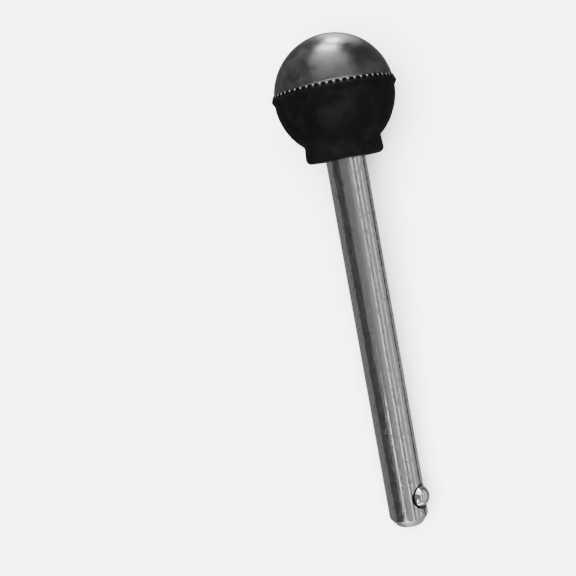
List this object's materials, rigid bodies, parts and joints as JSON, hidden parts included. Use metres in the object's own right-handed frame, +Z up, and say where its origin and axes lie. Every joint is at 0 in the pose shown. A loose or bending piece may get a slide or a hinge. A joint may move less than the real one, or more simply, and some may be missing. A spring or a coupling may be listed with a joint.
{
  "type": "weight stack pin",
  "caption": "Lifting-stack selector pin: plated steel rod, black rubber ball knob with a toothed bead, and a sprung ball near the chamfered tip.",
  "frame": {"origin": "on the table under the middle of the pin's bounding box, as the pin lies on its knob and its tip", "axes": "+X along the pin from the knob to the tip, seen from above; +Z up from the table. The rod slopes down to the tip by about 5.5 degrees"},
  "size_m": [0.1596, 0.0396, 0.0394],
  "materials": {
    "plated_rod": "bright plated, drawn lengthwise, lightly scuffed",
    "black_rubber": "moulded, satin dome and matte lower half",
    "spring_wire": "drawn spring wire",
    "polished_ball": "polished bearing ball"
  },
  "bodies": {
    "pin": {"shaft": "plated_rod", "knob": "black_rubber", "detent_spring": "spring_wire"},
    "ball": {"detent_ball": "polished_ball"}
  },
  "joints": [
    {"name": "detent_press", "type": "slide", "parent": "pin", "child": "ball", "axis": [-0.0282, -0.9563, -0.291], "range_m": [0, 0.0021], "stiffness_N_per_m": 2000, "springref_m": -0.002, "deforming": ["detent_spring"]}
  ]
}
